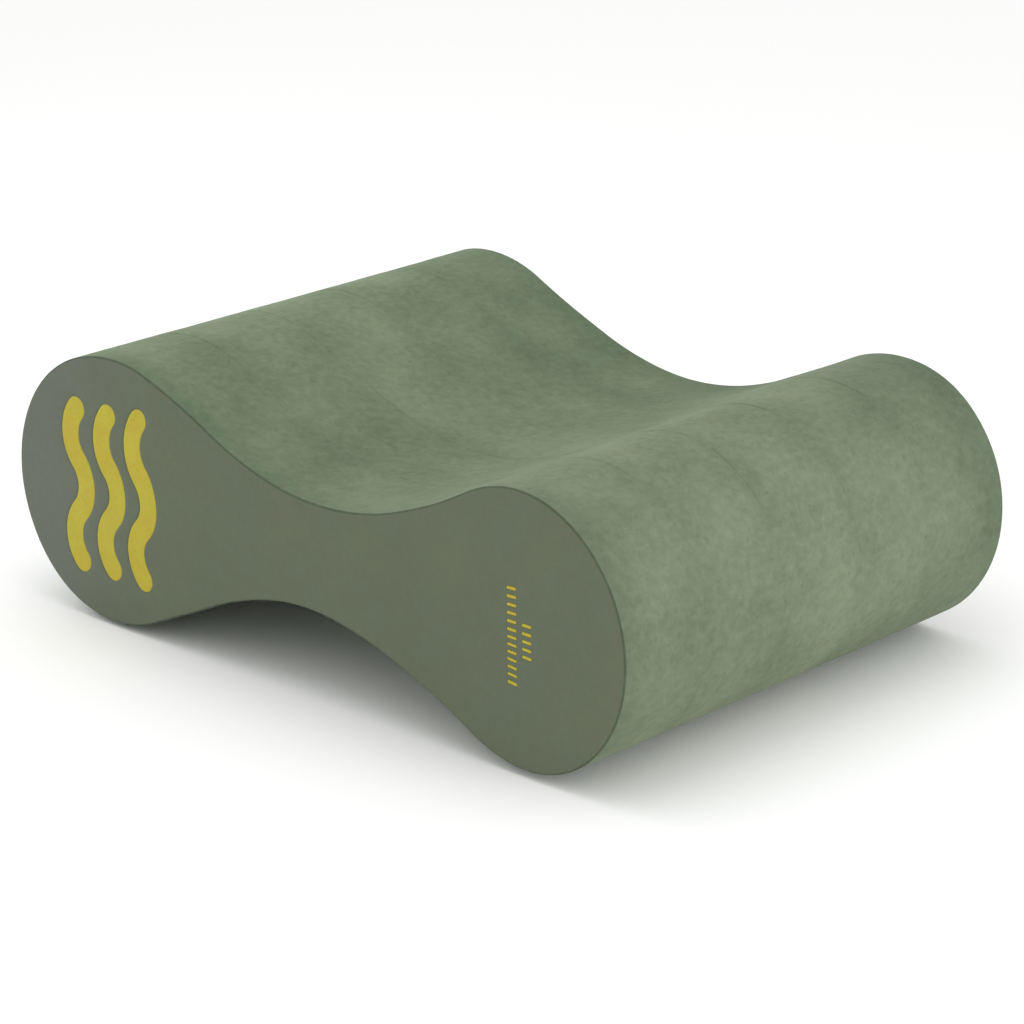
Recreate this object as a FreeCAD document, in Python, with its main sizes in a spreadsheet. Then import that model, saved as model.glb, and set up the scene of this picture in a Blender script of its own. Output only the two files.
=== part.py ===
"""Pull buoy: a figure-eight swimming float of laminated closed-cell EVA foam.

Five foam slabs are bonded face to face along the float's depth, with the outer rims rounded.
A wave mark and a date code are printed into one end face, each on its own lobe.

Frame: origin on the floor under the middle of the float, +X along the long axis from the marked
lobe to the other lobe, +Y along the depth away from the printed end face, +Z up. Millimetres.
"""
import FreeCAD, Part
import math
import os
import Sketcher

V = FreeCAD.Vector
doc = FreeCAD.newDocument("pull_buoy")

# ---------------------------------------------------------------- driving sizes
# alias, value or formula, meaning
SIZES = [
    ("lobe_radius", 38.8, "radius of each float lobe"),
    ("lobe_spacing", 156.4, "distance between the two lobe axes"),
    ("waist_half", 15.0, "half of the foam thickness at the waist"),
    ("waist_radius", 83.0, "radius of the thigh hollow, above and below"),
    ("slab_count", 5, "foam slabs bonded along the depth"),
    ("slab_thickness", 30.8, "thickness of one foam slab"),
    ("film_thickness", 0.25, "thickness of one adhesive film"),
    ("film_inset", 0.15, "how far an adhesive film stops short of the buffed side"),
    ("rim_round", 0.6, "rounding of the outer rim of each end face"),
    ("ink_depth", 0.3, "how far the printed ink goes into the end face"),
    ("mark_offset", "=lobe_spacing / 2", "distance of the mark's middle from the float's middle"),
    ("mark_drop", 0.5, "how far the printed mark's middle lies under the lobe axis"),
    ("wave_pitch", 13.2, "distance between two bands of the mark"),
    ("wave_step", 15.0, "length of half a wave"),
    ("wave_radius", 10.9, "radius of a band's centre line"),
    ("wave_width", 7.0, "width of a band"),
    ("wave_bands", 3, "bands in the mark"),
    ("code_offset", 77.8, "distance of the long code row from the float's middle"),
    ("code_gap", 5.2, "distance between the two code rows"),
    ("code_height", 3.2, "size of a code bar across its row"),
    ("code_bar", 0.9, "size of a code bar along its row"),
    ("code_pitch", 2.35, "distance between two code bars"),
    ("code_long", 13, "bars in the long code row"),
    ("code_short", 5, "bars in the short code row"),
    ("code_low", 16.6, "how far the long code row starts under the lobe axis"),
]
sheet = doc.addObject("Spreadsheet::Sheet", "sizes")
for row, (alias, value, meaning) in enumerate(SIZES, start=1):
    sheet.set("A%d" % row, meaning)
    sheet.set("B%d" % row, str(value))
    sheet.setAlias("B%d" % row, alias)
doc.recompute()
size = {alias: float(sheet.get(alias)) for alias, _, _ in SIZES}


def cell(text):
    """Expression text in which every $alias is read from the sheet."""
    return text.replace("$", "<<sizes>>.")


# ---------------------------------------------------------------- bodies and features
bodies = []


def new_body(label, start):
    """A body whose XZ plane lies at start (an expression) along Y, level with the lobe axes."""
    body = doc.addObject("PartDesign::Body", label)
    body.setExpression("Placement.Base.y", cell(start))
    body.setExpression("Placement.Base.z", cell("$lobe_radius"))
    bodies.append(body)
    return body


def datum(body, role):
    return [f for f in body.Origin.OriginFeatures if f.Role == role][0]


def extrude(body, kind, name, sketch, length):
    """A Pad or a Pocket from the sketch towards +Y."""
    feature = body.newObject("PartDesign::" + kind, name)
    feature.Profile = sketch
    feature.setExpression("Length", cell(length))
    # The sketch normal is -Y: a pad follows it unless reversed, a pocket goes against it.
    feature.Reversed = kind == "Pad"
    doc.recompute()
    return feature


def pattern(body, name, original, steps):
    """Linear patterns applied in turn. steps: (axis role, length, count), both expressions."""
    multi = body.newObject("PartDesign::MultiTransform", name)
    multi.Originals = [original]
    transformations = []
    for n, (role, length, count) in enumerate(steps):
        linear = body.newObject("PartDesign::LinearPattern", "%s_step%d" % (name, n))
        linear.Direction = (datum(body, role), [""])
        linear.setExpression("Length", cell(length))
        linear.setExpression("Occurrences", cell(count))
        transformations.append(linear)
    multi.Transformations = transformations
    body.Tip = multi
    doc.recompute()


def round_rim(body, pad, y):
    """Rounds the edges of the pad that lie in the plane y of the body."""
    names = []
    for n, edge in enumerate(pad.Shape.Edges, start=1):
        box = edge.BoundBox
        if abs(box.YMin - y) < 1e-6 and abs(box.YMax - y) < 1e-6:
            names.append("Edge%d" % n)
    rim = body.newObject("PartDesign::Fillet", "rim_round_" + body.Name)
    rim.Base = (pad, names)
    rim.setExpression("Radius", cell("$rim_round"))
    doc.recompute()


# ---------------------------------------------------------------- sketch helpers
# Point positions on a sketch element, and the sketch's own origin and axes
START, END, CENTRE = 1, 2, 3
ORIGIN = (-1, 1)
X_AXIS, Y_AXIS = -1, -2


def new_sketch(body, name):
    """A sketch on the body's own XZ plane: sketch x is +X, sketch y is +Z."""
    sketch = body.newObject("Sketcher::SketchObject", name)
    sketch.AttachmentSupport = [(datum(body, "XZ_Plane"), "")]
    sketch.MapMode = "FlatFace"
    return sketch


def constrain(sketch, rows):
    sketch.addConstraint([Sketcher.Constraint(*row) for row in rows])


def bind(sketch, name, expression, *constraint):
    """Adds a named dimension that follows an expression."""
    index = sketch.addConstraint(Sketcher.Constraint(*constraint))
    sketch.renameConstraint(index, name)
    sketch.setExpression("Constraints." + name, cell(expression))


def circle(x, y, radius):
    return Part.Circle(V(x, y, 0), V(0, 0, 1), radius)


def arc(x, y, radius, start, end):
    return Part.ArcOfCircle(circle(x, y, radius), start, end)


# ---------------------------------------------------------------- the figure-eight profile
def profile(body, insets):
    """Closed outline: two lobe arcs, two waist arcs, four straight flanks, all tangent.
    It lies insets times film_inset inside the buffed side."""
    sketch = new_sketch(body, "profile_" + body.Name)
    inset = insets * size["film_inset"]
    lobe = size["lobe_radius"] - inset
    waist = size["waist_radius"] + inset
    lobe_x = size["lobe_spacing"] / 2
    hollow_y = size["waist_half"] + size["waist_radius"]
    reach = math.hypot(lobe_x, hollow_y)
    slope = math.atan2(lobe_x, hollow_y) - math.acos((lobe + waist) / reach)
    up, down = math.pi / 2, 3 * math.pi / 2

    left_arc = arc(-lobe_x, 0, lobe, up - slope, down + slope)
    right_arc = arc(lobe_x, 0, lobe, -up - slope, up + slope)
    top_arc = arc(0, hollow_y, waist, down - slope, down + slope)
    low_arc = arc(0, -hollow_y, waist, up - slope, up + slope)
    flanks = [
        Part.LineSegment(left_arc.StartPoint, top_arc.StartPoint),
        Part.LineSegment(top_arc.EndPoint, right_arc.EndPoint),
        Part.LineSegment(right_arc.StartPoint, low_arc.StartPoint),
        Part.LineSegment(low_arc.EndPoint, left_arc.EndPoint),
    ]
    sketch.addGeometry([left_arc, right_arc, top_arc, low_arc] + flanks, False)

    left, right, top, low = range(4)
    # arc and its point at the start of each flank, then at its end
    joints = [
        (left, START, top, START),
        (top, END, right, END),
        (right, START, low, START),
        (low, END, left, END),
    ]
    for flank, (first, first_point, second, second_point) in enumerate(joints, start=4):
        constrain(sketch, [
            ("Tangent", flank, START, first, first_point),
            ("Tangent", flank, END, second, second_point),
        ])
    constrain(sketch, [
        ("Equal", left, right),
        ("Equal", top, low),
        ("PointOnObject", left, CENTRE, X_AXIS),
        ("Symmetric", left, CENTRE, right, CENTRE, *ORIGIN),
        ("PointOnObject", top, CENTRE, Y_AXIS),
        ("Symmetric", top, CENTRE, low, CENTRE, *ORIGIN),
    ])
    bind(sketch, "lobe", "$lobe_radius - %d * $film_inset" % insets, "Radius", left, lobe)
    bind(sketch, "waist", "$waist_radius + %d * $film_inset" % insets, "Radius", top, waist)
    bind(sketch, "spacing", "$lobe_spacing",
         "DistanceX", left, CENTRE, right, CENTRE, 2 * lobe_x)
    bind(sketch, "hollow", "$waist_half + $waist_radius",
         "DistanceY", *ORIGIN, top, CENTRE, hollow_y)
    return sketch


# ---------------------------------------------------------------- foam slabs and films
SLABS = [
    "printed_end_slab",
    "front_inner_slab",
    "centre_slab",
    "rear_inner_slab",
    "plain_end_slab",
]
FILMS = [
    "front_outer_bond_film",
    "front_inner_bond_film",
    "rear_inner_bond_film",
    "rear_outer_bond_film",
]
DEPTH = "($slab_count * $slab_thickness + ($slab_count - 1) * $film_thickness)"


def slab_start(k):
    """Start of slab number k along Y, counted from the printed end."""
    return "%d * ($slab_thickness + $film_thickness) - %s / 2" % (k, DEPTH)


def foam_slab(k, label):
    body = new_body(label, slab_start(k))
    pad = extrude(body, "Pad", "slab_" + label, profile(body, insets=0), "$slab_thickness")
    return body, pad


def bond_film(k, label):
    """The adhesive film behind slab number k."""
    body = new_body(label, slab_start(k) + " + $slab_thickness")
    extrude(body, "Pad", "film_" + label, profile(body, insets=1), "$film_thickness")


# ---------------------------------------------------------------- printing on the end face
BAND_X = "$mark_offset + $wave_pitch * ($wave_bands - 1) / 2"
ACROSS_BANDS = ("X_Axis", "$wave_pitch * ($wave_bands - 1)", "$wave_bands")
band_x = size["mark_offset"] + size["wave_pitch"] * (size["wave_bands"] - 1) / 2


def wave_half(body, name, side, step):
    """One half wave of the band nearest -X: a ring sector. side -1 bulges to +X, +1 to -X.
    step counts half waves from the mark's middle down to the sector's middle."""
    sketch = new_sketch(body, name)
    radius, width, length = size["wave_radius"], size["wave_width"], size["wave_step"]
    half_angle = math.asin(length / 2 / radius)
    x = -band_x + side * math.sqrt(radius ** 2 - length ** 2 / 4)
    y = -(size["mark_drop"] + step * length)
    middle = 0.0 if side < 0 else math.pi
    inner_radius, outer_radius = radius - width / 2, radius + width / 2
    inner_arc = arc(x, y, inner_radius, middle - half_angle, middle + half_angle)
    outer_arc = arc(x, y, outer_radius, middle - half_angle, middle + half_angle)
    start_line = Part.LineSegment(inner_arc.StartPoint, outer_arc.StartPoint)
    end_line = Part.LineSegment(inner_arc.EndPoint, outer_arc.EndPoint)
    sketch.addGeometry([inner_arc, outer_arc, start_line, end_line], False)

    inner, outer, first, second = range(4)
    constrain(sketch, [
        ("Coincident", inner, CENTRE, outer, CENTRE),
        ("Coincident", first, START, inner, START),
        ("Coincident", first, END, outer, START),
        ("Coincident", second, START, inner, END),
        ("Coincident", second, END, outer, END),
        ("PointOnObject", inner, CENTRE, first),
        ("PointOnObject", inner, CENTRE, second),
        ("Vertical", inner, START, inner, END),
    ])
    bind(sketch, "inner", "$wave_radius - $wave_width / 2", "Radius", inner, inner_radius)
    bind(sketch, "outer", "$wave_radius + $wave_width / 2", "Radius", outer, outer_radius)
    sign = "-" if side > 0 else "+"
    bind(sketch, "across", BAND_X + " %s sqrt($wave_radius ^ 2 - $wave_step ^ 2 / 4)" % sign,
         "DistanceX", inner, CENTRE, *ORIGIN, -x)
    bind(sketch, "down", "$mark_drop + %d * $wave_step" % step,
         "DistanceY", inner, CENTRE, *ORIGIN, -y)
    lower, upper = (START, END) if side < 0 else (END, START)
    bind(sketch, "chord", "($wave_radius - $wave_width / 2) * $wave_step / $wave_radius",
         "DistanceY", inner, lower, inner, upper, 2 * inner_radius * math.sin(half_angle))
    return sketch


def wave_end(body, name):
    """The round lower end of the band nearest -X."""
    sketch = new_sketch(body, name)
    drop = size["mark_drop"] + 1.5 * size["wave_step"]
    radius = size["wave_width"] / 2
    sketch.addGeometry([circle(-band_x, -drop, radius)], False)
    bind(sketch, "round", "$wave_width / 2", "Radius", 0, radius)
    bind(sketch, "across", BAND_X, "DistanceX", 0, CENTRE, *ORIGIN, band_x)
    bind(sketch, "down", "$mark_drop + 1.5 * $wave_step",
         "DistanceY", 0, CENTRE, *ORIGIN, drop)
    return sketch


def code_bar(body, name, row):
    """Lowest bar of a code row: 0 is the long row, 1 the short row, centred beside it."""
    sketch = new_sketch(body, name)
    width, height = size["code_height"], size["code_bar"]
    x = size["code_offset"] + row * size["code_gap"] - width / 2
    rise = row * (size["code_long"] - size["code_short"]) / 2 * size["code_pitch"]
    y = rise - size["code_low"]
    corners = [V(x, y, 0), V(x + width, y, 0), V(x + width, y + height, 0), V(x, y + height, 0)]
    sides = [Part.LineSegment(corners[n], corners[(n + 1) % 4]) for n in range(4)]
    sketch.addGeometry(sides, False)

    bottom, right, top, left = range(4)
    constrain(sketch, [("Coincident", n, END, (n + 1) % 4, START) for n in range(4)])
    constrain(sketch, [
        ("Horizontal", bottom),
        ("Horizontal", top),
        ("Vertical", right),
        ("Vertical", left),
    ])
    bind(sketch, "tall", "$code_height", "DistanceX", bottom, START, bottom, END, width)
    bind(sketch, "stroke", "$code_bar", "DistanceY", right, START, right, END, height)
    bind(sketch, "across", "$code_offset + %d * $code_gap - $code_height / 2" % row,
         "DistanceX", *ORIGIN, bottom, START, x)
    bind(sketch, "down", "$code_low - %d * ($code_long - $code_short) / 2 * $code_pitch" % row,
         "DistanceY", bottom, START, *ORIGIN, -y)
    return sketch


def wave_mark(body, tag, kind):
    """The wave bands as pads (ink) or pockets (recess) of a body."""
    crest_sketch = wave_half(body, tag + "_crest_sketch", side=-1, step=0)
    crest = extrude(body, kind, tag + "_crest", crest_sketch, "$ink_depth")
    trough_sketch = wave_half(body, tag + "_trough_sketch", side=1, step=1)
    trough = extrude(body, kind, tag + "_trough", trough_sketch, "$ink_depth")
    end_sketch = wave_end(body, tag + "_end_sketch")
    end = extrude(body, kind, tag + "_end", end_sketch, "$ink_depth")
    pattern(body, tag + "_crests", crest, [ACROSS_BANDS])
    pattern(body, tag + "_troughs", trough, [("Z_Axis", "2 * $wave_step", "2"), ACROSS_BANDS])
    pattern(body, tag + "_ends", end, [("Z_Axis", "3 * $wave_step", "2"), ACROSS_BANDS])


def date_code(body, tag, kind):
    """The two rows of bars as pads (ink) or pockets (recess) of a body."""
    for row, count in enumerate(["$code_long", "$code_short"]):
        sketch = code_bar(body, "%s_bar%d_sketch" % (tag, row), row)
        bar = extrude(body, kind, "%s_bar%d" % (tag, row), sketch, "$ink_depth")
        length = "$code_pitch * (%s - 1)" % count
        pattern(body, "%s_row%d" % (tag, row), bar, [("Z_Axis", length, count)])


# ---------------------------------------------------------------- build
slabs = [foam_slab(k, label) for k, label in enumerate(SLABS)]
round_rim(*slabs[0], 0.0)
round_rim(*slabs[-1], size["slab_thickness"])
for k, label in enumerate(FILMS):
    bond_film(k, label)

printed_slab = slabs[0][0]
recess_volume = printed_slab.Shape.Volume
wave_mark(printed_slab, "recess", "Pocket")
date_code(printed_slab, "recess", "Pocket")
recess_volume -= printed_slab.Shape.Volume

mark_print = new_body("wave_mark_print", slab_start(0))
wave_mark(mark_print, "mark", "Pad")
code_print = new_body("date_code_print", slab_start(0))
date_code(code_print, "code", "Pad")

# ---------------------------------------------------------------- validation and export
doc.recompute()
for obj in doc.Objects:
    if "Invalid" in obj.State or "Error" in obj.State:
        raise RuntimeError("%s (%s) is %s" % (obj.Name, obj.TypeId, obj.State))
for body in bodies:
    if body.Shape.isNull() or not body.Shape.isValid():
        raise RuntimeError(body.Label + " has no valid shape")
# The ink fills its recess.
ink_volume = mark_print.Shape.Volume + code_print.Shape.Volume
if recess_volume <= 0 or abs(recess_volume - ink_volume) > 0.01 * ink_volume:
    raise RuntimeError("recess %.3f mm3, ink %.3f mm3" % (recess_volume, ink_volume))

os.makedirs("parts", exist_ok=True)
for body in bodies:
    body.Shape.exportStep(os.path.join("parts", body.Label + ".step"))
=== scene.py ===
"""A pull buoy: five glued foam slabs cut to a waisted two-lobe outline, with a printed end face.

The outline lies in the XZ plane with its lobes at -X and +X, and the slabs are stacked along Y.
The printed end is the front and faces -Y. Shapes are worked out in millimetres, with z measured
from the lobe axes, and are moved into the frame in metres by to_world.
"""
import math

import bpy
import numpy as np
from mathutils import Matrix, Vector, geometry


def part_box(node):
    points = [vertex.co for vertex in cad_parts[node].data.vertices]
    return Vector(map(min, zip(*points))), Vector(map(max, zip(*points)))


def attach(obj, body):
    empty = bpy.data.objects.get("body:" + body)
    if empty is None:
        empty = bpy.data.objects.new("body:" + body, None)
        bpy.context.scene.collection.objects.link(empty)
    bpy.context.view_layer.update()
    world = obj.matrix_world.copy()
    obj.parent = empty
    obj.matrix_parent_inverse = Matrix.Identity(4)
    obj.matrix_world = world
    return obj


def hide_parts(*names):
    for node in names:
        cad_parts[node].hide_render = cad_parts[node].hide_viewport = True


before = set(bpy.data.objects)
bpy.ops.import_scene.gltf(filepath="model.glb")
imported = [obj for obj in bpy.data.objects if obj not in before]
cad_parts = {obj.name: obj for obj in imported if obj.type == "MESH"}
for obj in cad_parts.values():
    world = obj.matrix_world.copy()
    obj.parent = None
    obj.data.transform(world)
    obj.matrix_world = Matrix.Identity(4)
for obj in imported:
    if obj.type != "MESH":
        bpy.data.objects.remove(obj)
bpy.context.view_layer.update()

MM = 0.001
SEED = 4211
QUARTER = math.pi / 2

# ------------------------------------------------------------------ sizes, mm
centre_low, centre_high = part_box("centre_slab")
LOBE_R = (centre_high.z - centre_low.z) / 2 / MM
MID_Z = (centre_high.z + centre_low.z) / 2 / MM
SPAN = 156.4 / 2  # lobe axis from the middle
WAIST_H = 15.0  # half height at the middle
WAIST_R = 83.0
Y_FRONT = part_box("printed_end_slab")[0].y / MM
Y_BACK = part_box("plain_end_slab")[1].y / MM

RING = 1152  # points round the profile
ROW_STEP = 0.55  # row spacing along the depth

# Front to back: object, node it replaces, shade of the foam
SLABS = (
    ("printed_end_foam", "printed_end_slab", 0.012),
    ("front_inner_foam", "front_inner_slab", 0.036),
    ("centre_foam", "centre_slab", 0.083),
    ("rear_inner_foam", "rear_inner_slab", 0.031),
    ("plain_end_foam", "plain_end_slab", -0.036),
)
# Gap n lies between slabs n and n + 1
GLUE_LINES = (
    ("front_outer_glue_line", "front_outer_bond_film"),
    ("front_inner_glue_line", "front_inner_bond_film"),
    ("rear_inner_glue_line", "rear_inner_bond_film"),
    ("rear_outer_glue_line", "rear_outer_bond_film"),
)
LAST_SLAB = len(SLABS) - 1


def bell(distance, width):
    """1 at distance 0, falling smoothly to 1/e at the width."""
    return np.exp(-((distance / width) ** 2))


# ------------------------------------------------------------------ outline
def arc(centre_x, centre_z, radius, start, stop, sign):
    """Length of an arc, and a function giving its points and normals. sign -1: hollow side out."""
    def at(u):
        angle = start + (stop - start) * u
        direction = np.stack([np.cos(angle), np.sin(angle)], 1)
        return np.array([centre_x, centre_z]) + radius * direction, sign * direction

    return abs(stop - start) * radius, at


def line(start, stop, normal):
    start, stop, normal = np.array(start), np.array(stop), np.array(normal)

    def at(u):
        return start + (stop - start) * u[:, None], np.repeat(normal[None], len(u), 0)

    return float(np.hypot(*(stop - start))), at


def outline_parts():
    """Arcs and tangent lines of the outline, counter-clockwise from +X."""
    waist_z = WAIST_H + WAIST_R  # centre of the waist arc
    both = LOBE_R + WAIST_R
    tilt = math.atan2(SPAN, waist_z) - math.acos(both / math.hypot(SPAN, waist_z))
    s, c = math.sin(tilt), math.cos(tilt)

    def flank(side_x, side_z, to_waist):
        lobe = (side_x * (SPAN - LOBE_R * s), side_z * LOBE_R * c)
        waist = (side_x * WAIST_R * s, side_z * (waist_z - WAIST_R * c))
        ends = (lobe, waist) if to_waist else (waist, lobe)
        return line(*ends, (-side_x * s, side_z * c))

    return [
        arc(SPAN, 0, LOBE_R, 0, QUARTER + tilt, 1),
        flank(1, 1, True),
        arc(0, waist_z, WAIST_R, 3 * QUARTER + tilt, 3 * QUARTER - tilt, -1),
        flank(-1, 1, False),
        arc(-SPAN, 0, LOBE_R, QUARTER - tilt, 3 * QUARTER + tilt, 1),
        flank(-1, -1, True),
        arc(0, -waist_z, WAIST_R, QUARTER + tilt, QUARTER - tilt, -1),
        flank(1, -1, False),
        arc(SPAN, 0, LOBE_R, -QUARTER - tilt, 0, 1),
    ]


def ring_profile():
    """RING points and outward normals at equal steps round the outline, and its length."""
    parts = outline_parts()
    ends = np.cumsum([length for length, _ in parts])
    total = ends[-1]
    travel = np.arange(RING) * total / RING
    which = np.searchsorted(ends, travel, side="right")
    points, normals = np.zeros((RING, 2)), np.zeros((RING, 2))
    for k, (length, at) in enumerate(parts):
        here = which == k
        if here.any():
            u = (travel[here] - (ends[k] - length)) / length
            points[here], normals[here] = at(u)
    return points, normals, total


PROFILE, NORMALS, PERIMETER = ring_profile()

# ------------------------------------------------------------------ smooth random fields
FIELD_STEP, FIELD_ROWS = 0.5, 400  # grid along the depth
FIELD_LEAD = 10  # how far the grid starts in front of the front face
RING_WAVES = 2 * np.pi * np.fft.fftfreq(RING, PERIMETER / RING)


def unit_spread(values):
    return (values - values.mean()) / values.std()


def field(seed, around, along):
    """Random field over the side, periodic round the profile, with correlation lengths in mm."""
    white = np.random.default_rng(SEED + seed).standard_normal((RING, FIELD_ROWS))
    row_waves = 2 * np.pi * np.fft.fftfreq(FIELD_ROWS, FIELD_STEP)
    power = -((RING_WAVES[:, None] * around) ** 2) / 2 - (row_waves[None] * along) ** 2 / 2
    return unit_spread(np.real(np.fft.ifft2(np.fft.fft2(white) * np.exp(power))))


def line_noise(seed, around):
    """Random values round the ring, unit spread, correlation length in mm."""
    white = np.random.default_rng(SEED + seed).standard_normal(RING)
    smooth = np.exp(-((RING_WAVES * around) ** 2) / 2)
    return unit_spread(np.real(np.fft.ifft(np.fft.fft(white) * smooth)))


def sample(values, ys):
    """The field at every ring point and the given y values: shape (rows, RING)."""
    place = (np.asarray(ys) - Y_FRONT + FIELD_LEAD) / FIELD_STEP
    i = np.clip(np.floor(place).astype(int), 0, FIELD_ROWS - 2)
    u = (place - i)[:, None]
    return values[:, i].T * (1 - u) + values[:, i + 1].T * u


# waves left by the contour cut
CUT = 0.050 * field(1, around=30, along=26) + 0.022 * field(2, around=10, along=7)
# tracks of the buffing wheel
BUFF = 0.012 * field(3, around=36, along=2.0) + 0.005 * field(4, around=12, along=1.2)
# torn cells
NAP = 0.012 * field(5, around=1.1, along=0.8) + 0.006 * field(6, around=0.55, along=0.5)
NAP_UNIT = (BUFF + NAP) / (BUFF + NAP).std()

# ------------------------------------------------------------------ cutting error
# Departure from the nominal outline, mm, at each knot along x; linear from front to back
KNOTS = np.array([-75.0, -50, -25, 0, 25, 50, 75])
KNOT_WIDTH = 22.0
FRONT_TOP = np.array([0.05, 3.0, 2.69, 1.35, 0.06, -2.54, -0.28])
FRONT_LOW = np.array([-1.16, -0.32, -0.09, -1.24, -0.72, -3.32, -1.4])
BACK_TOP = np.array([-1.55, -2.24, -0.82, -0.95, -0.5, -1.39, -1.99])
LIFT_FADE = 15.0  # |z| below which the rise and fall dies away
# Shift of the lobes along x as (front, back)
LEFT_SHIFT = (0.92, -0.43)
RIGHT_SHIFT = (0.4, -4.51)


def wander(points):
    """Moves points (n x 3) by the float's own cutting error."""
    x, y, z = points.T
    back = np.clip((y - Y_FRONT) / (Y_BACK - Y_FRONT), 0, 1)
    front = 1 - back
    hump = bell(x[:, None] - KNOTS[None], KNOT_WIDTH)
    top = hump @ FRONT_TOP * front + hump @ BACK_TOP * back
    low = hump @ FRONT_LOW * front
    out = points.copy()
    for side, shift in ((-x, LEFT_SHIFT), (x, RIGHT_SHIFT)):
        out[:, 0] += (shift[0] * front + shift[1] * back) * np.clip(side / SPAN, 0, 1) ** 2
    out[:, 2] += np.where(z > 0, top, -low) * np.clip(np.abs(z) / LIFT_FADE, 0, 1)
    return out


def to_world(points):
    out = wander(points)
    out[:, 2] += MID_Z
    return out * MM


# ------------------------------------------------------------------ mesh helpers
SHARP_ANGLE = math.radians(48)


def add_piece(name, node, points, faces, attributes, material):
    """Makes the mesh object, hangs it under the root body and hides the node it replaces."""
    mesh = bpy.data.meshes.new(name)
    mesh.from_pydata([tuple(v) for v in to_world(points).tolist()], [], faces)
    mesh.validate()
    for key, values in attributes.items():
        values = np.asarray(values, np.float32)
        is_vector = values.ndim == 2
        layer = mesh.attributes.new(key, "FLOAT_VECTOR" if is_vector else "FLOAT", "POINT")
        layer.data.foreach_set("vector" if is_vector else "value", values.ravel())
    mesh.materials.append(material)
    mesh.polygons.foreach_set("use_smooth", np.ones(len(mesh.polygons), bool))
    mesh.set_sharp_from_angle(angle=SHARP_ANGLE)
    mesh.update()
    obj = bpy.data.objects.new(name, mesh)
    bpy.context.scene.collection.objects.link(obj)
    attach(obj, "root")
    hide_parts(node)


def inside(points, loop):
    """Which 2-D points lie inside the closed loop."""
    x, y = points.T
    hit = np.zeros(len(points), bool)
    for (x0, y0), (x1, y1) in zip(loop, np.roll(loop, -1, axis=0)):
        if y0 != y1:
            hit ^= ((y0 > y) != (y1 > y)) & (x < (x1 - x0) * (y - y0) / (y1 - y0) + x0)
    return hit


def nearest(points, targets, block=400):
    """Distance from each point to its nearest target, taken in blocks to save memory."""
    out = np.full(len(points), 1e9)
    for i in range(0, len(targets), block):
        gaps = points[:, None] - targets[i : i + block][None]
        out = np.minimum(out, (gaps**2).sum(2).min(1))
    return np.sqrt(out)


def open_edges(polygons):
    """Directed edges that belong to one polygon only."""
    found = {}
    for polygon in polygons:
        for a, b in zip(polygon, polygon[1:] + polygon[:1]):
            if (b, a) in found:
                del found[(b, a)]
            else:
                found[(a, b)] = True
    return list(found)


def side_points(shift, y):
    """Profile points moved outward by shift, at depth y; both (rows, RING)."""
    x = PROFILE[:, 0] + NORMALS[:, 0] * shift
    z = PROFILE[:, 1] + NORMALS[:, 1] * shift
    return np.stack([x, y, z], 2).reshape(-1, 3)


def fold_points(y):
    """Texture place of the side, in metres: the outline rolled into a circle of equal length."""
    angle = 2 * np.pi * np.arange(RING) / RING
    radius = PERIMETER / 2 / np.pi
    rows = len(y)
    across, up = np.tile(radius * np.cos(angle), rows), np.tile(radius * np.sin(angle), rows)
    return np.stack([across, up, y.ravel()], 1) * MM


def side_quads(rows):
    here = np.arange(RING)
    after = (here + 1) % RING
    faces = []
    for j in range(rows - 1):
        a, b = j * RING, (j + 1) * RING
        faces += np.stack([a + here, b + here, b + after, a + after], 1).tolist()
    return faces


def glued_cap(base, front):
    """Closes the ring that starts at vertex base with strips from its upper to its lower half."""
    half = RING // 2
    faces = []
    for i in range(half):
        if i == 0:
            face = [base, base + 1, base + RING - 1]
        elif i == half - 1:
            face = [base + i, base + i + 1, base + i + 2]
        else:
            face = [base + i, base + i + 1, base + RING - i - 1, base + RING - i]
        faces.append(face if front else face[::-1])
    return faces


# ------------------------------------------------------------------ printed figures
# Wave mark on the left lobe: three bands side by side, each of three arcs one below another
MARK_X, MARK_Z = -78.2, -0.5
WAVE_BANDS = 3
WAVE_PITCH = 13.2  # between bands
WAVE_STEP = 15.0  # height of one arc
WAVE_R, WAVE_W = 10.9, 7.0
ARC_POINTS = 34
# Date code on the right lobe: two columns of short bars lying along x
CODE_X, CODE_GAP = 77.8, 5.2  # first column, and step to the second
CODE_LENGTH, CODE_BAR, CODE_CORNER = 3.2, 0.9, 0.2
CODE_PITCH = 2.35
CODE_LOW = 16.6  # lowest bar edge below the lobe axis
CODE_COLUMNS = ((0, 13), (4, 5))  # first place counted from below, number of bars

# Grid over a band: places across it (of its half width), and angles of the rows in a round end
ACROSS = np.array(
    [-1, -0.97, -0.93, -0.87, -0.75, -0.55, -0.3, 0, 0.3, 0.55, 0.75, 0.87, 0.93, 0.97, 1.0]
)
CAP_ANGLES = np.radians([3, 8, 14, 20, 28, 38, 50, 63, 77])


def wave_line(band):
    """Centre line and normals of one band, from its upper end to its lower end."""
    reach = math.sqrt(WAVE_R**2 - WAVE_STEP**2 / 4)
    half_angle = math.asin(WAVE_STEP / 2 / WAVE_R)
    middle_x = MARK_X + (band - 1) * WAVE_PITCH
    points, normals = [], []
    for k in range(3):
        middle_z = MARK_Z + (1 - k) * WAVE_STEP
        side = 1 if k == 1 else -1  # -1: bulges to -X
        angle = np.linspace(half_angle, -half_angle, ARC_POINTS, endpoint=k == 2)
        direction = np.stack([side * np.cos(angle), np.sin(angle)], 1)
        points.append(np.array([middle_x - side * reach, middle_z]) + WAVE_R * direction)
        normals.append(side * direction)
    return np.vstack(points), np.vstack(normals)


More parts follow.
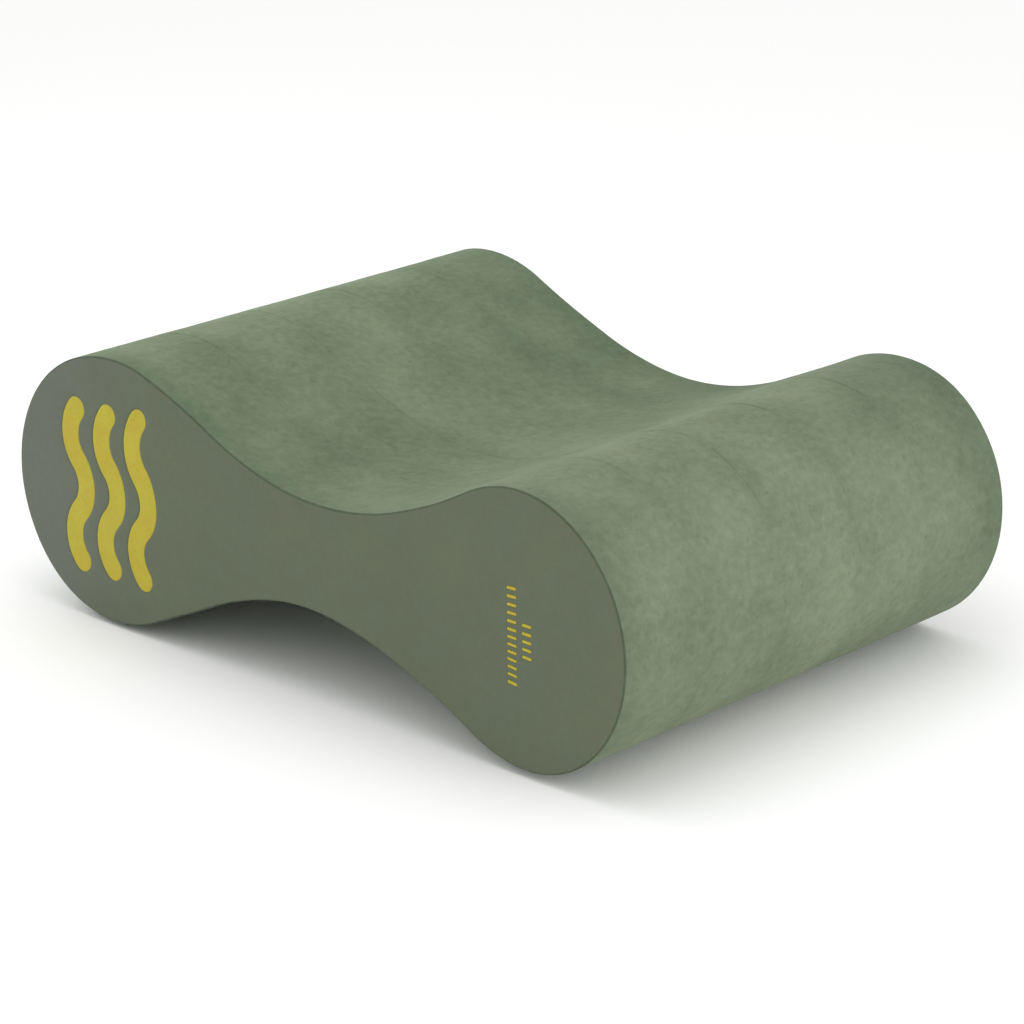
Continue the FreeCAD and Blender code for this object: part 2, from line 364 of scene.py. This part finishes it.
def band_grid(band, grow=0.0, across=ACROSS):
    """Grid of points over one round-ended band, and how far each lies inside its outline."""
    points, normals = wave_line(band)
    radius = WAVE_W / 2 + grow

    def round_end(i, sign, angles):
        """Rows beyond centre point i, towards +Z or -Z by the sign."""
        out = np.array([-normals[i][1], normals[i][0]])
        out = out if out[1] * sign > 0 else -out
        return [
            (points[i] + out * radius * math.cos(a), normals[i],
             radius * math.sin(a), radius * math.cos(a))
            for a in angles
        ]

    stations = round_end(0, 1, CAP_ANGLES)
    stations += [(point, normal, radius, 0.0) for point, normal in zip(points, normals)]
    stations += round_end(-1, -1, CAP_ANGLES[::-1])
    grid, deep = [], []
    for centre, normal, half_width, beyond in stations:
        grid.append(centre[None] + normal[None] * (across * half_width)[:, None])
        deep.append(radius - np.hypot(beyond, across * half_width))
    return np.array(grid), np.array(deep)


def band_loop(band, grow):
    grid, _ = band_grid(band, grow, np.array([-1.0, 1.0]))
    return np.vstack([grid[:, 0], grid[::-1, 1]])


def code_bars():
    """Centres of the bars."""
    return [
        (CODE_X + column * CODE_GAP, -CODE_LOW + (k + first) * CODE_PITCH + CODE_BAR / 2)
        for column, (first, count) in enumerate(CODE_COLUMNS)
        for k in range(count)
    ]


def bar_loop(bar, grow, corner_share=1.0):
    """Rounded outline of a bar grown by grow; its corner radius grows by corner_share of that."""
    corner = CODE_CORNER + grow * corner_share
    half_x = (CODE_LENGTH + 2 * grow) / 2 - corner
    half_z = (CODE_BAR + 2 * grow) / 2 - corner
    points = []
    for side_x, side_z, start in ((1, 1, 0), (-1, 1, 90), (-1, -1, 180), (1, -1, 270)):
        for a in np.radians(start + np.linspace(0, 90, 4)):
            x = bar[0] + side_x * half_x + corner * math.cos(a)
            z = bar[1] + side_z * half_z + corner * math.sin(a)
            points.append((x, z))
    return np.array(points)


def recess_outlines():
    """(rim loop, floor loop) of every printed recess, both a little wider than the ink."""
    bands = [(band_loop(b, 0.16), band_loop(b, 0.03)) for b in range(WAVE_BANDS)]
    return bands + [(bar_loop(b, 0.13), bar_loop(b, 0.03)) for b in code_bars()]


# ------------------------------------------------------------------ end faces
FACE_PITCH = 1.7  # triangle size
RING_CLEAR, RECESS_CLEAR = 0.9, 0.45  # bare strip beside the outline and the recess loops
RECESS_LIP, RECESS_DEPTH = 0.11, 0.3


def face_patch(ring, figures):
    """Triangles over the outline, cut along the recess loops.

    Returns 2-D points, triangles, which triangles are recess floors, the ring index of each
    point (-1: none), and which points lie on a floor loop.
    """
    loops = [ring] + [loop for figure in figures for loop in figure]
    starts = np.cumsum([0] + [len(loop) for loop in loops]).tolist()
    edges = [
        (start + i, start + (i + 1) % len(loop))
        for start, loop in zip(starts, loops)
        for i in range(len(loop))
    ]
    floor_loops = loops[2::2]
    floor_ids = {
        start + i for start, loop in zip(starts[2::2], floor_loops) for i in range(len(loop))
    }

    x0, z0 = ring.min(0)
    x1, z1 = ring.max(0)
    x, z = np.meshgrid(np.arange(x0, x1, FACE_PITCH), np.arange(z0, z1, FACE_PITCH * 0.866))
    x = x + (np.arange(x.shape[0]) % 2)[:, None] * FACE_PITCH / 2
    grid = np.stack([x.ravel(), z.ravel()], 1)
    grid = grid[inside(grid, ring)]
    grid = grid[nearest(grid, ring[::2]) > RING_CLEAR]
    if figures:
        grid = grid[nearest(grid, np.vstack(loops[1:])) > RECESS_CLEAR]

    start_points = [Vector(p) for p in np.vstack(loops + [grid]).tolist()]
    # output type 1: only triangles inside the outline
    found, _, triangles, sources, _, _ = geometry.delaunay_2d_cdt(
        start_points, edges, [], 1, 1e-7
    )
    points = np.array([tuple(v) for v in found])
    ring_of = np.full(len(points), -1)
    on_floor_loop = np.zeros(len(points), bool)
    for i, ids in enumerate(sources):
        for j in ids:
            if j < len(ring):
                ring_of[i] = j
        on_floor_loop[i] = not floor_ids.isdisjoint(ids)
    triangles = np.array(triangles)
    middles = points[triangles].mean(1)
    is_floor = np.zeros(len(triangles), bool)
    for loop in floor_loops:
        is_floor |= inside(middles, loop)
    return points, triangles, is_floor, ring_of, on_floor_loop


def end_cap(points, base, y, front, figures):
    """Slightly wavy end face over the ring that starts at vertex base.

    Returns the added points, the faces, and the rim value of the added points, which paints shadow
    into the print recesses.
    """
    ring = points[base : base + RING][:, [0, 2]]
    flat, triangles, is_floor, ring_of, on_floor_loop = face_patch(ring, figures)
    inward = 1.0 if front else -1.0

    rng = np.random.default_rng(SEED + (7 if front else 8))
    phases = rng.uniform(0, 2 * np.pi, (6, 2))
    wave = np.zeros(len(flat))
    for phase in phases[:, 0]:
        direction = rng.normal(size=2) / 34.0
        wave += np.sin(flat @ direction * np.pi + phase)
    fade = np.clip(nearest(flat, ring[::3]) / 9.0, 0, 1)
    depth = 0.018 * wave * fade + 0.02 * fade
    depth[on_floor_loop] += RECESS_LIP

    new = np.where(ring_of < 0)[0]
    index_of = base + ring_of
    index_of[new] = len(points) + np.arange(len(new))
    surface = np.stack([flat[new, 0], y + inward * depth[new], flat[new, 1]], 1)
    # recess floors have their own, deeper copies of the points
    used = np.unique(triangles[is_floor])
    floor_y = np.full(len(used), y + inward * RECESS_DEPTH)
    floor = np.stack([flat[used, 0], floor_y, flat[used, 1]], 1)
    first_floor = len(points) + len(new)
    floor_of = {u: first_floor + i for i, u in enumerate(used.tolist())}

    faces = []
    for triangle, low in zip(triangles.tolist(), is_floor):
        ids = [floor_of[v] if low else int(index_of[v]) for v in triangle]
        faces.append(ids if front else ids[::-1])
    # walls down to the floors; only the front face has recesses
    for a, b in open_edges(triangles[is_floor].tolist()):
        faces.append([int(index_of[a]), int(index_of[b]), floor_of[b], floor_of[a]])
    # painted shadow: the recess walls and floors are darkened with the rim colour
    rim = 0.8 * np.r_[on_floor_loop[new].astype(float), np.ones(len(used))]
    return np.vstack([surface, floor]), faces, rim


# ------------------------------------------------------------------ foam slabs
GLUED_OFFSETS = (0.0, 0.05, 0.12, 0.22, 0.36)  # rows beside a glued face
ROUND_ANGLES = np.radians([90, 80, 68, 54, 40, 26, 13, 0])  # rows round the edge of an end face
GLUED_START, ROUND_START = 0.62, 0.75  # first plain row from a glued face and from an end face
SEAM_SINK = 0.075  # how deep an open bond line lies


def crest(above):
    """1 along the top and bottom of each lobe, 0 where |z| is not over the given height."""
    return bell(np.abs(PROFILE[:, 0]) - SPAN, 13.0) * (np.abs(PROFILE[:, 1]) > above)


def seam_opening(gap):
    """How far a bond line shows at each ring point: mostly closed, opening more on the crests."""
    on_crest = crest(above=20)
    opening = np.clip(line_noise(40 + gap, 7.0) - 0.35, 0, 1.4) * (0.22 + 0.6 * on_crest)
    return np.clip(opening + 0.05 * on_crest, 0, 1)


SEAM_OPEN = [seam_opening(gap) for gap in range(len(GLUE_LINES))]


def glued_edge(gap):
    """Rows beside a glued face, as (distance from the face, inset, rim, seam, skin)."""
    opening = SEAM_OPEN[gap]
    return [
        (d, (0.008 + SEAM_SINK * opening) * bell(d, 0.18), 0, bell(d, 0.2) * opening, 0)
        for d in GLUED_OFFSETS
    ]


def rounded_edge(seed):
    """Rows round the edge of an end face, with the columns of glued_edge."""
    radius = 0.56 + 0.05 * np.clip(line_noise(seed, 6.0), -2, 2)
    rows = []
    for a in ROUND_ANGLES:
        rim = math.sin(2 * a) ** 0.7 if 0 < a < QUARTER else 0.0
        rows.append((radius * (1 - math.sin(a)), radius * (1 - math.cos(a)), rim, 0, a / QUARTER))
    return rows


def slab_tone_and_shade(index, y, y0, y1):
    """Relative brightness of the side of one slab: its own shade, with a painted highlight on the
    crests and painted shade towards both ends.
    """
    own = SLABS[index][2]
    tone_and_shade = np.full(y.shape, own)
    for distance, gap, neighbour in ((y - y0, index - 1, index - 1), (y1 - y, index, index + 1)):
        if 0 <= neighbour <= LAST_SLAB:
            # the foam is a little denser beside a bond line
            tone_and_shade += bell(distance, 2.2) * (0.012 * line_noise(80 + gap, 12.0)[None] - 0.012)
            tone_and_shade -= 0.044 * bell(distance, 7.0)
            # the buffing blurs the change of shade
            tone_and_shade += 0.45 * (SLABS[neighbour][2] - own) * bell(distance, 4.0)
    # painted highlight: the crests of the lobes are made paler, standing in for the light they
    # catch
    tone_and_shade += 0.075 * crest(above=15)[None]
    # painted shade: the side is made darker towards both end faces
    tone_and_shade -= 0.165 * bell(y - Y_FRONT, 8.0) + 0.14 * bell(Y_BACK - y, 12.0)
    return tone_and_shade


def build_slab(index, material, figures):
    name, node, _ = SLABS[index]
    low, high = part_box(node)
    y0, y1 = low.y / MM, high.y / MM
    at_front, at_back = index == 0, index == LAST_SLAB
    front = rounded_edge(60) if at_front else glued_edge(index - 1)
    back = rounded_edge(61) if at_back else glued_edge(index)
    start = ROUND_START if at_front else GLUED_START
    stop = ROUND_START if at_back else GLUED_START
    count = int(round((y1 - stop - y0 - start) / ROW_STEP))

    stations = [(y0 + distance, *rest) for distance, *rest in front]
    stations += [(y, 0, 0, 0, 0) for y in np.linspace(y0 + start, y1 - stop, count + 1)]
    stations += [(y1 - distance, *rest) for distance, *rest in back[::-1]]
    y, inset, rim, seam, skin = (
        np.array([np.broadcast_to(v, RING) for v in column], float) for column in zip(*stations)
    )
    rows = len(y)
    row_y = y.mean(1)
    cut = sample(CUT, row_y)
    fine = sample(CUT + BUFF + NAP, row_y) - cut
    shift = cut + fine * np.where(skin > 0, 0.6, 1.0) - inset
    points = side_points(shift, y)
    attributes = {
        "fold": fold_points(y),
        "skin": skin.ravel(),
        "rim": rim.ravel(),
        "seam": seam.ravel(),
        "nap": sample(NAP_UNIT, row_y).ravel(),
        "tone_and_shade": slab_tone_and_shade(index, y, y0, y1).ravel(),
    }

    faces = side_quads(rows)
    for base, face_y, is_front, is_end in (
        (0, y0, True, at_front),
        ((rows - 1) * RING, y1, False, at_back),
    ):
        if not is_end:
            faces += glued_cap(base, is_front)
            continue
        added, cap_faces, recess_shadow = end_cap(
            points, base, face_y, is_front, figures if is_front else []
        )
        faces += cap_faces
        points = np.vstack([points, added])
        # the rim values of the front cap paint shadow into the print recesses
        cap_values = {"fold": added[:, [0, 2, 1]] * MM, "skin": np.ones(len(added)), "rim": recess_shadow}
        for key, values in attributes.items():
            extra = cap_values.get(key, np.zeros(len(added)))
            attributes[key] = np.concatenate([values, extra])
    add_piece(name, node, points, faces, attributes, material)


def build_film(gap, material):
    """Thin sheet of cured adhesive whose edge lies a little under the buffed side."""
    name, node = GLUE_LINES[gap]
    low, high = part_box(node)
    y0, y1 = low.y / MM, high.y / MM
    row_y = np.array([y0, y0 + 0.05, (y0 + y1) / 2, y1 - 0.05, y1])
    hollow = np.array([0.006, 0.002, 0.0, 0.002, 0.006])  # extra depth of each row
    opening = SEAM_OPEN[gap]
    squeeze = 0.003 * line_noise(70 + gap, 1.2)
    shift = sample(CUT + BUFF, row_y) - (0.014 + SEAM_SINK * opening) - hollow[:, None] + squeeze
    rows = len(row_y)
    y = np.repeat(row_y[:, None], RING, 1)
    faces = side_quads(rows) + glued_cap(0, True) + glued_cap((rows - 1) * RING, False)
    attributes = {"open": np.tile(opening, rows), "fold": fold_points(y)}
    add_piece(name, node, side_points(shift, y), faces, attributes, material)


# ------------------------------------------------------------------ printed ink
INK_TOP, INK_BOTTOM = 0.035, 0.285  # depth below the end face


def build_wave_ink(material):
    points, faces, base = [], [], 0
    for band in range(WAVE_BANDS):
        grid, deep = band_grid(band)
        rows, columns = grid.shape[:2]
        fall = 0.10 * np.clip(1 - deep / 0.38, 0, 1) ** 2  # towards the edge of the band
        rng = np.random.default_rng(SEED + 90 + band)
        rough = 0.005 * rng.standard_normal((rows, columns))
        low = np.full((rows, columns), Y_FRONT + INK_BOTTOM)
        for y in (Y_FRONT + INK_TOP + fall + rough, low):
            points.append(np.stack([grid[..., 0], y, grid[..., 1]], 2).reshape(-1, 3))
        size = rows * columns
        i = np.arange(size).reshape(rows, columns)
        # wound so that the top looks towards -Y
        quads = np.stack([i[1:, :-1], i[1:, 1:], i[:-1, 1:], i[:-1, :-1]], -1).reshape(-1, 4)
        faces += (quads + base).tolist()
        faces += (quads[:, ::-1] + base + size).tolist()
        for a, b in open_edges(quads.tolist()):
            faces.append([base + b, base + a, base + size + a, base + size + b])
        base += 2 * size
    add_piece(
        "wave_mark_ink", "wave_mark_print", np.vstack(points), faces, {}, material
    )


def build_code_ink(material):
    # (grow, depth) of the rings of a bar, from the bottom to the softened top
    levels = (
        (0.0, INK_BOTTOM), (0.0, INK_TOP + 0.08), (-0.03, INK_TOP + 0.02), (-0.12, INK_TOP),
    )
    points, faces, base = [], [], 0
    for bar in code_bars():
        for grow, depth in levels:
            loop = bar_loop(bar, grow, corner_share=0.8)
            y = np.full(len(loop), Y_FRONT + depth)
            points.append(np.stack([loop[:, 0], y, loop[:, 1]], 1))
        size = len(loop)
        here = np.arange(size)
        after = (here + 1) % size
        for j in range(3):
            a, b = base + j * size, base + (j + 1) * size
            # rings run counter-clockwise seen from the front, and come towards the front
            faces += np.stack([a + here, a + after, b + after, b + here], 1).tolist()
        faces.append((base + 3 * size + here).tolist())
        faces.append((base + here[::-1]).tolist())
        base += 4 * size
    add_piece(
        "date_code_ink", "date_code_print", np.vstack(points), faces, {}, material
    )


# ------------------------------------------------------------------ colours
def shade(green, red, blue):
    """Colour from its green value, with red and blue as parts of it."""
    return (green * red, green, green * blue)


SIDE_GREEN, FACE_GREEN = 0.172, 0.131
SAGE_WARM = shade(SIDE_GREEN, red=0.797, blue=0.632)
SAGE_COOL = shade(SIDE_GREEN, red=0.768, blue=0.626)
SAGE_FLECK = shade(SIDE_GREEN * 1.01, red=0.785, blue=0.642)
SIDE_PORE = (0.075, 0.098, 0.060)
SIDE_FIBRE = (0.27, 0.32, 0.215)
SEAM_DARK = (0.075, 0.10, 0.06)
# dark edge of the end faces; the same colour paints shadow into the print recesses
RIM_DARK_AND_RECESS_SHADOW = (0.052, 0.072, 0.044)
SKIN_WARM = shade(FACE_GREEN * 1.01, red=0.850, blue=0.615)
SKIN_COOL = shade(FACE_GREEN, red=0.822, blue=0.665)
SKIN_RED = shade(FACE_GREEN * 0.985, red=0.885, blue=0.635)
SKIN_LEFT_REFLECTION = shade(FACE_GREEN * 1.07, red=0.865, blue=0.745)  # painted reflection: paler and bluish towards the left end
SKIN_CELL = (0.10, 0.115, 0.08)
SHEEN_TINT = (0.86, 0.98, 0.70, 1)
GLUE_BARE = (0.060, 0.080, 0.048)
INK_WARM, INK_COOL = (0.435, 0.345, 0.012), (0.425, 0.372, 0.013)
INK_HOLE = (0.16, 0.17, 0.08)
FLOOR_DIM, FLOOR_PALE = (0.94, 0.94, 0.935), (0.955, 0.955, 0.95)


# ------------------------------------------------------------------ materials
class Graph:
    """A material with one Principled shader, and short calls for the nodes that feed it."""

    def __init__(self, name):
        self.mat = bpy.data.materials.new(name)
        self.mat.use_nodes = True
        self.tree = self.mat.node_tree
        self.tree.nodes.clear()
        out = self.node("OutputMaterial")
        self.bsdf = self.node("BsdfPrincipled")
        self.put(self.bsdf.outputs[0], out.inputs[0])

    def node(self, kind):
        return self.tree.nodes.new("ShaderNode" + kind)

    def put(self, value, socket):
        if isinstance(value, bpy.types.NodeSocket):
            self.tree.links.new(value, socket)
        else:
            socket.default_value = value

    def set(self, name, value):
        self.put(value, self.bsdf.inputs[name])

    def attr(self, name, output="Fac"):
        n = self.node("Attribute")
        n.attribute_name = name
        return n.outputs[output]

    def coords(self):
        return self.node("TexCoord").outputs["Object"]

    def x_of(self, vec):
        n = self.node("SeparateXYZ")
        self.put(vec, n.inputs[0])
        return n.outputs[0]

    def noise(self, vec, scale, detail=2.0, rough=0.5):
        """scale: cells per metre, as one number or one for each axis."""
        if isinstance(scale, tuple):
            stretch = self.node("VectorMath")
            stretch.operation = "MULTIPLY"
            self.put(vec, stretch.inputs[0])
            stretch.inputs[1].default_value = scale
            vec, scale = stretch.outputs[0], 1.0
        n = self.node("TexNoise")
        self.put(vec, n.inputs["Vector"])
        n.inputs["Scale"].default_value = scale
        n.inputs["Detail"].default_value = detail
        n.inputs["Roughness"].default_value = rough
        return n.outputs["Fac"]

    def math(self, op, *values, clamp=False):
        n = self.node("Math")
        n.operation = op
        n.use_clamp = clamp
        for value, socket in zip(values, n.inputs):
            self.put(value, socket)
        return n.outputs[0]

    def scale_add(self, value, by, plus):
        return self.math("MULTIPLY_ADD", value, by, plus)

    def vary(self, level, noise, amount):
        """level plus the noise, centred on 0, times the amount."""
        return self.scale_add(self.math("SUBTRACT", noise, 0.5), by=amount, plus=level)

    def span(self, value, between, to=(0, 1)):
        """Smooth step from one range to another."""
        n = self.node("MapRange")
        n.interpolation_type = "SMOOTHSTEP"
        for i, v in enumerate((value, *between, *to)):
            self.put(v, n.inputs[i])
        return n.outputs[0]

    def mix(self, fac, a, b, blend="MIX"):
        n = self.node("Mix")
        n.data_type = "RGBA"
        n.blend_type = blend
        self.put(fac, n.inputs[0])
        for colour, socket in ((a, n.inputs[6]), (b, n.inputs[7])):
            self.put((*colour, 1.0) if isinstance(colour, tuple) else colour, socket)
        return n.outputs[2]

    def mix_value(self, fac, a, b):
        n = self.node("Mix")
        n.data_type = "FLOAT"
        self.put(fac, n.inputs[0])
        self.put(a, n.inputs[2])
        self.put(b, n.inputs[3])
        return n.outputs[0]

    def gain(self, colour, value):
        """colour times a grey value."""
        n = self.node("VectorMath")
        n.operation = "SCALE"
        self.put(colour, n.inputs[0])
        self.put(value, n.inputs["Scale"])
        return n.outputs[0]

    def bump(self, height, distance, strength, normal=None):
        n = self.node("Bump")
        n.inputs["Strength"].default_value = strength
        n.inputs["Distance"].default_value = distance
        self.put(height, n.inputs["Height"])
        if normal is not None:
            self.put(normal, n.inputs["Normal"])
        return n.outputs[0]


def side_colour(g, obj, fold):
    """Buffed foam: sage green, softly mottled, with fine flecks. Returns colour and pore mask."""
    broad = g.noise(obj, scale=20, detail=0.6)
    patch = g.noise(obj, scale=(48, 48, 54), detail=0.6)
    hue = g.scale_add(patch, by=0.6, plus=g.math("MULTIPLY", broad, 0.4))
    colour = g.mix(g.span(hue, between=(0.40, 0.60)), SAGE_COOL, SAGE_WARM)
    fleck = g.span(g.noise(obj, scale=210, detail=1.0), between=(0.38, 0.66), to=(0, 0.6))
    colour = g.mix(fleck, colour, SAGE_FLECK)
    level = g.vary(1.0, broad, amount=0.20)
    level = g.vary(level, patch, amount=0.35)
    # finer and finer mottling: coordinates, cells per metre, change of brightness
    for vec, scale, amount in (
        (fold, (100, 100, 90), 0.105),
        (fold, (210, 210, 190), 0.115),
        (fold, (420, 420, 390), 0.28),
        (fold, (780, 780, 760), 0.20),
        (obj, (1700, 1700, 1700), 0.08),
    ):
        level = g.vary(level, g.noise(vec, scale=scale, detail=0.6), amount=amount)
    colour = g.gain(colour, level)
    pore = g.span(g.noise(fold, scale=(760, 760, 860), detail=0.0), between=(0.70, 0.84))
    colour = g.mix(g.math("MULTIPLY", pore, 0.26), colour, SIDE_PORE)
    fibre = g.span(g.noise(fold, scale=(720, 720, 740), detail=1.0), between=(0.68, 0.84))
    return g.mix(g.math("MULTIPLY", fibre, 0.22), colour, SIDE_FIBRE), pore


def toned_and_shaded_side(g, obj, side, nap, tone_and_shade, seam):
    """The buffed side with the slab's own shade, the painted crest highlight and end shade, and the
    darker seams.
    """
    # painted shade: the colour is made a little darker where the nap sinks and lighter where it
    # rises
    nap_shade = g.scale_add(nap, by=0.006, plus=1.0)
    side = g.gain(side, g.math("ADD", nap_shade, tone_and_shade))
    # red follows the tone, so the pale foam and the painted crest highlight are warmer and the
    # painted shade at the ends cooler; red and blue rise together from the middle to the right lobe
    red_blue = g.span(g.x_of(obj), between=(-0.01, 0.095), to=(0.976, 1.016))
    tint = g.node("CombineXYZ")
    g.put(g.scale_add(tone_and_shade, by=0.22, plus=red_blue), tint.inputs[0])
    tint.inputs[1].default_value = 1.0
    g.put(red_blue, tint.inputs[2])
    side = g.mix(1.0, side, tint.outputs[0], blend="MULTIPLY")
    patchy = g.span(g.noise(obj, scale=320), between=(0.35, 0.65), to=(0.3, 0.8))
    return g.mix(g.math("MULTIPLY", seam, patchy), side, SEAM_DARK)


def skin_colour(g, obj):
    """Smooth skin of the end faces."""
    face = g.mix(g.span(g.noise(obj, scale=60), between=(0.38, 0.62)), SKIN_WARM, SKIN_COOL)
    red = g.span(g.noise(obj, scale=170, detail=1.5), between=(0.36, 0.66), to=(0, 0.7))
    face = g.mix(red, face, SKIN_RED)
    # painted reflection: the skin turns paler and bluish towards the left end
    drift = g.vary(g.x_of(obj), g.noise(obj, scale=30, detail=1.0), amount=0.04)
    face = g.mix(g.span(drift, between=(-0.055, -0.105)), face, SKIN_LEFT_REFLECTION)
    level = g.vary(1.0, g.noise(obj, scale=40, detail=1.0, rough=0.6), amount=0.08)
    level = g.vary(level, g.noise(obj, scale=160, detail=1.0, rough=0.6), amount=0.05)
    level = g.vary(level, g.noise(obj, scale=800, rough=0.6), amount=0.06)
    face = g.gain(face, level)
    cell = g.span(g.noise(obj, scale=1300, detail=1.0), between=(0.70, 0.80), to=(0, 0.16))
    return g.mix(cell, face, SKIN_CELL)


def foam_material():
    g = Graph("eva_foam")
    obj = g.coords()
    fold = g.attr("fold", "Vector")
    skin, rim, seam, nap, tone_and_shade = (g.attr(k) for k in ("skin", "rim", "seam", "nap", "tone_and_shade"))

    side, pore = side_colour(g, obj, fold)
    side = toned_and_shaded_side(g, obj, side, nap, tone_and_shade, seam)
    colour = g.mix(g.span(skin, between=(0.25, 0.75)), side, skin_colour(g, obj))
    # dark edge round the end faces, and painted shadow in the walls and floors of the print
    # recesses
    rim_and_shadow_patches = g.span(g.noise(obj, scale=420, rough=0.6), between=(0.25, 0.75), to=(0.6, 0.95))
    g.set("Base Color", g.mix(g.math("MULTIPLY", rim, rim_and_shadow_patches), colour, RIM_DARK_AND_RECESS_SHADOW))

    fleck = g.noise(obj, scale=1500, detail=1.0)
    side_rough = g.span(fleck, between=(0.3, 0.7), to=(0.88, 0.98))
    face_rough = g.span(g.noise(obj, scale=700), between=(0.3, 0.7), to=(0.58, 0.70))
    g.set("Roughness", g.mix_value(skin, side_rough, face_rough))
    g.set("Specular IOR Level", g.scale_add(skin, by=0.10, plus=0.14))
    g.set("Sheen Weight", g.math("MULTIPLY", g.math("SUBTRACT", 1.0, skin), 0.16))
    g.set("Sheen Roughness", 0.30)
    g.set("Sheen Tint", SHEEN_TINT)

    # nap of the side and faint cell print of the skin
    streak = g.noise(fold, scale=(520, 520, 600), detail=1.0)
    nap_height = g.scale_add(streak, by=0.9, plus=g.math("MULTIPLY", fleck, 0.5))
    nap_height = g.math("SUBTRACT", nap_height, g.math("MULTIPLY", pore, 0.5))
    nap_height = g.math("MULTIPLY", nap_height, g.math("SUBTRACT", 1.0, skin))
    nap_bump = g.bump(nap_height, distance=0.00010, strength=0.7)
    cells = g.math("MULTIPLY", g.noise(obj, scale=1100, rough=0.55), skin)
    g.set("Normal", g.bump(cells, distance=0.00003, strength=0.8, normal=nap_bump))
    return g.mat


def film_material():
    g = Graph("contact_adhesive")
    obj = g.coords()
    colour, _ = side_colour(g, obj, g.attr("fold", "Vector"))
    colour = g.gain(colour, 0.97)
    patchy = g.span(g.noise(obj, scale=260), between=(0.35, 0.62), to=(0.35, 1.0))
    bare = g.math("MULTIPLY", g.attr("open"), patchy, clamp=True)
    g.set("Base Color", g.mix(bare, colour, GLUE_BARE))
    rough = g.span(g.noise(obj, scale=800, detail=1.0), between=(0.3, 0.7), to=(0.75, 0.92))
    g.set("Roughness", rough)
    g.set("Normal", g.bump(g.noise(obj, scale=1500), distance=0.00005, strength=0.6))
    g.set("Specular IOR Level", 0.16)
    return g.mat


def ink_material():
    g = Graph("print_ink")
    obj = g.coords()
    colour = g.mix(g.span(g.noise(obj, scale=90), between=(0.38, 0.62)), INK_COOL, INK_WARM)
    level = g.vary(1.0, g.noise(obj, scale=850, rough=0.6), amount=0.18)
    level = g.vary(level, g.noise(obj, scale=160), amount=0.14)
    colour = g.gain(colour, level)
    # pinholes where the foam shows through
    hole = g.span(g.noise(obj, scale=1500, detail=1.0), between=(0.74, 0.80), to=(0, 0.6))
    g.set("Base Color", g.mix(hole, colour, INK_HOLE))
    g.set("Roughness", g.span(g.noise(obj, scale=600), between=(0.3, 0.7), to=(0.42, 0.58)))
    g.set("Specular IOR Level", 0.4)
    g.set("Normal", g.bump(g.noise(obj, scale=1000, rough=0.6), distance=0.00004, strength=0.8))
    return g.mat


def floor_material():
    g = Graph("studio_floor")
    g.set("Base Color", g.mix(g.noise(g.coords(), scale=3.0), FLOOR_DIM, FLOOR_PALE))
    g.set("Roughness", 0.9)
    g.set("Specular IOR Level", 0.1)
    return g.mat


# ------------------------------------------------------------------ build
foam = foam_material()
film = film_material()
ink = ink_material()

recesses = recess_outlines()
for slab_index in range(len(SLABS)):
    build_slab(slab_index, foam, recesses)
for gap_index in range(len(GLUE_LINES)):
    build_film(gap_index, film)
build_wave_ink(ink)
build_code_ink(ink)

# ------------------------------------------------------------------ floor, light, camera (metres)
FLOOR_HALF, FLOOR_Z = 5, -0.0002
LIGHT_AIM = Vector((0, 0, 0.04))
CAMERA_PLACE = (0.76988, -0.77456, 0.3736 + MID_Z * MM)
CAMERA_RIGHT = (0.712874, 0.701203, -0.01117)
CAMERA_UP = (-0.223091, 0.241847, 0.94432)
CAMERA_BACK = (0.664861, -0.67069, 0.328839)  # opposite to the view
LENS_MM, SENSOR_MM = 146.8828125, 36

scene = bpy.context.scene


def build_floor():
    h = FLOOR_HALF
    mesh = bpy.data.meshes.new("studio_floor")
    mesh.from_pydata([(-h, -h, 0), (h, -h, 0), (h, h, 0), (-h, h, 0)], [], [(0, 1, 2, 3)])
    mesh.materials.append(floor_material())
    floor = bpy.data.objects.new("studio_floor", mesh)
    scene.collection.objects.link(floor)
    floor.location.z = FLOOR_Z


def softbox(name, place, size, power):
    """A round softbox aimed at the middle of the float; size in metres, power in watts."""
    data = bpy.data.lights.new(name, "AREA")
    data.shape = "DISK"
    data.size = size
    data.energy = power
    light = bpy.data.objects.new(name, data)
    light.location = place
    light.rotation_euler = (Vector(place) - LIGHT_AIM).to_track_quat("Z", "Y").to_euler()
    light.visible_camera = False
    scene.collection.objects.link(light)


def build_camera():
    data = bpy.data.cameras.new("camera")
    data.lens = LENS_MM
    data.sensor_width = SENSOR_MM
    data.clip_start, data.clip_end = 0.05, 50
    camera = bpy.data.objects.new("camera", data)
    scene.collection.objects.link(camera)
    turn = Matrix((CAMERA_RIGHT, CAMERA_UP, CAMERA_BACK)).transposed().to_4x4()
    camera.matrix_world = Matrix.Translation(CAMERA_PLACE) @ turn
    scene.camera = camera


build_floor()

scene.view_settings.view_transform = "Standard"
scene.view_settings.look = "None"
world = bpy.data.worlds.new("studio")
scene.world = world
world.use_nodes = True
background = world.node_tree.nodes["Background"]
background.inputs["Color"].default_value = (1, 1, 1, 1)
background.inputs["Strength"].default_value = 1.0

softbox("right", place=(0.50, 0.0, 0.15), size=0.3, power=0.28)
softbox("right_low", place=(0.45, 0.03, 0.05), size=0.2, power=0.42)
softbox("over", place=(0.0, -0.08, 0.50), size=0.4, power=0.38)
softbox("left_high", place=(-0.42, -0.12, 0.36), size=0.4, power=0.40)

build_camera()
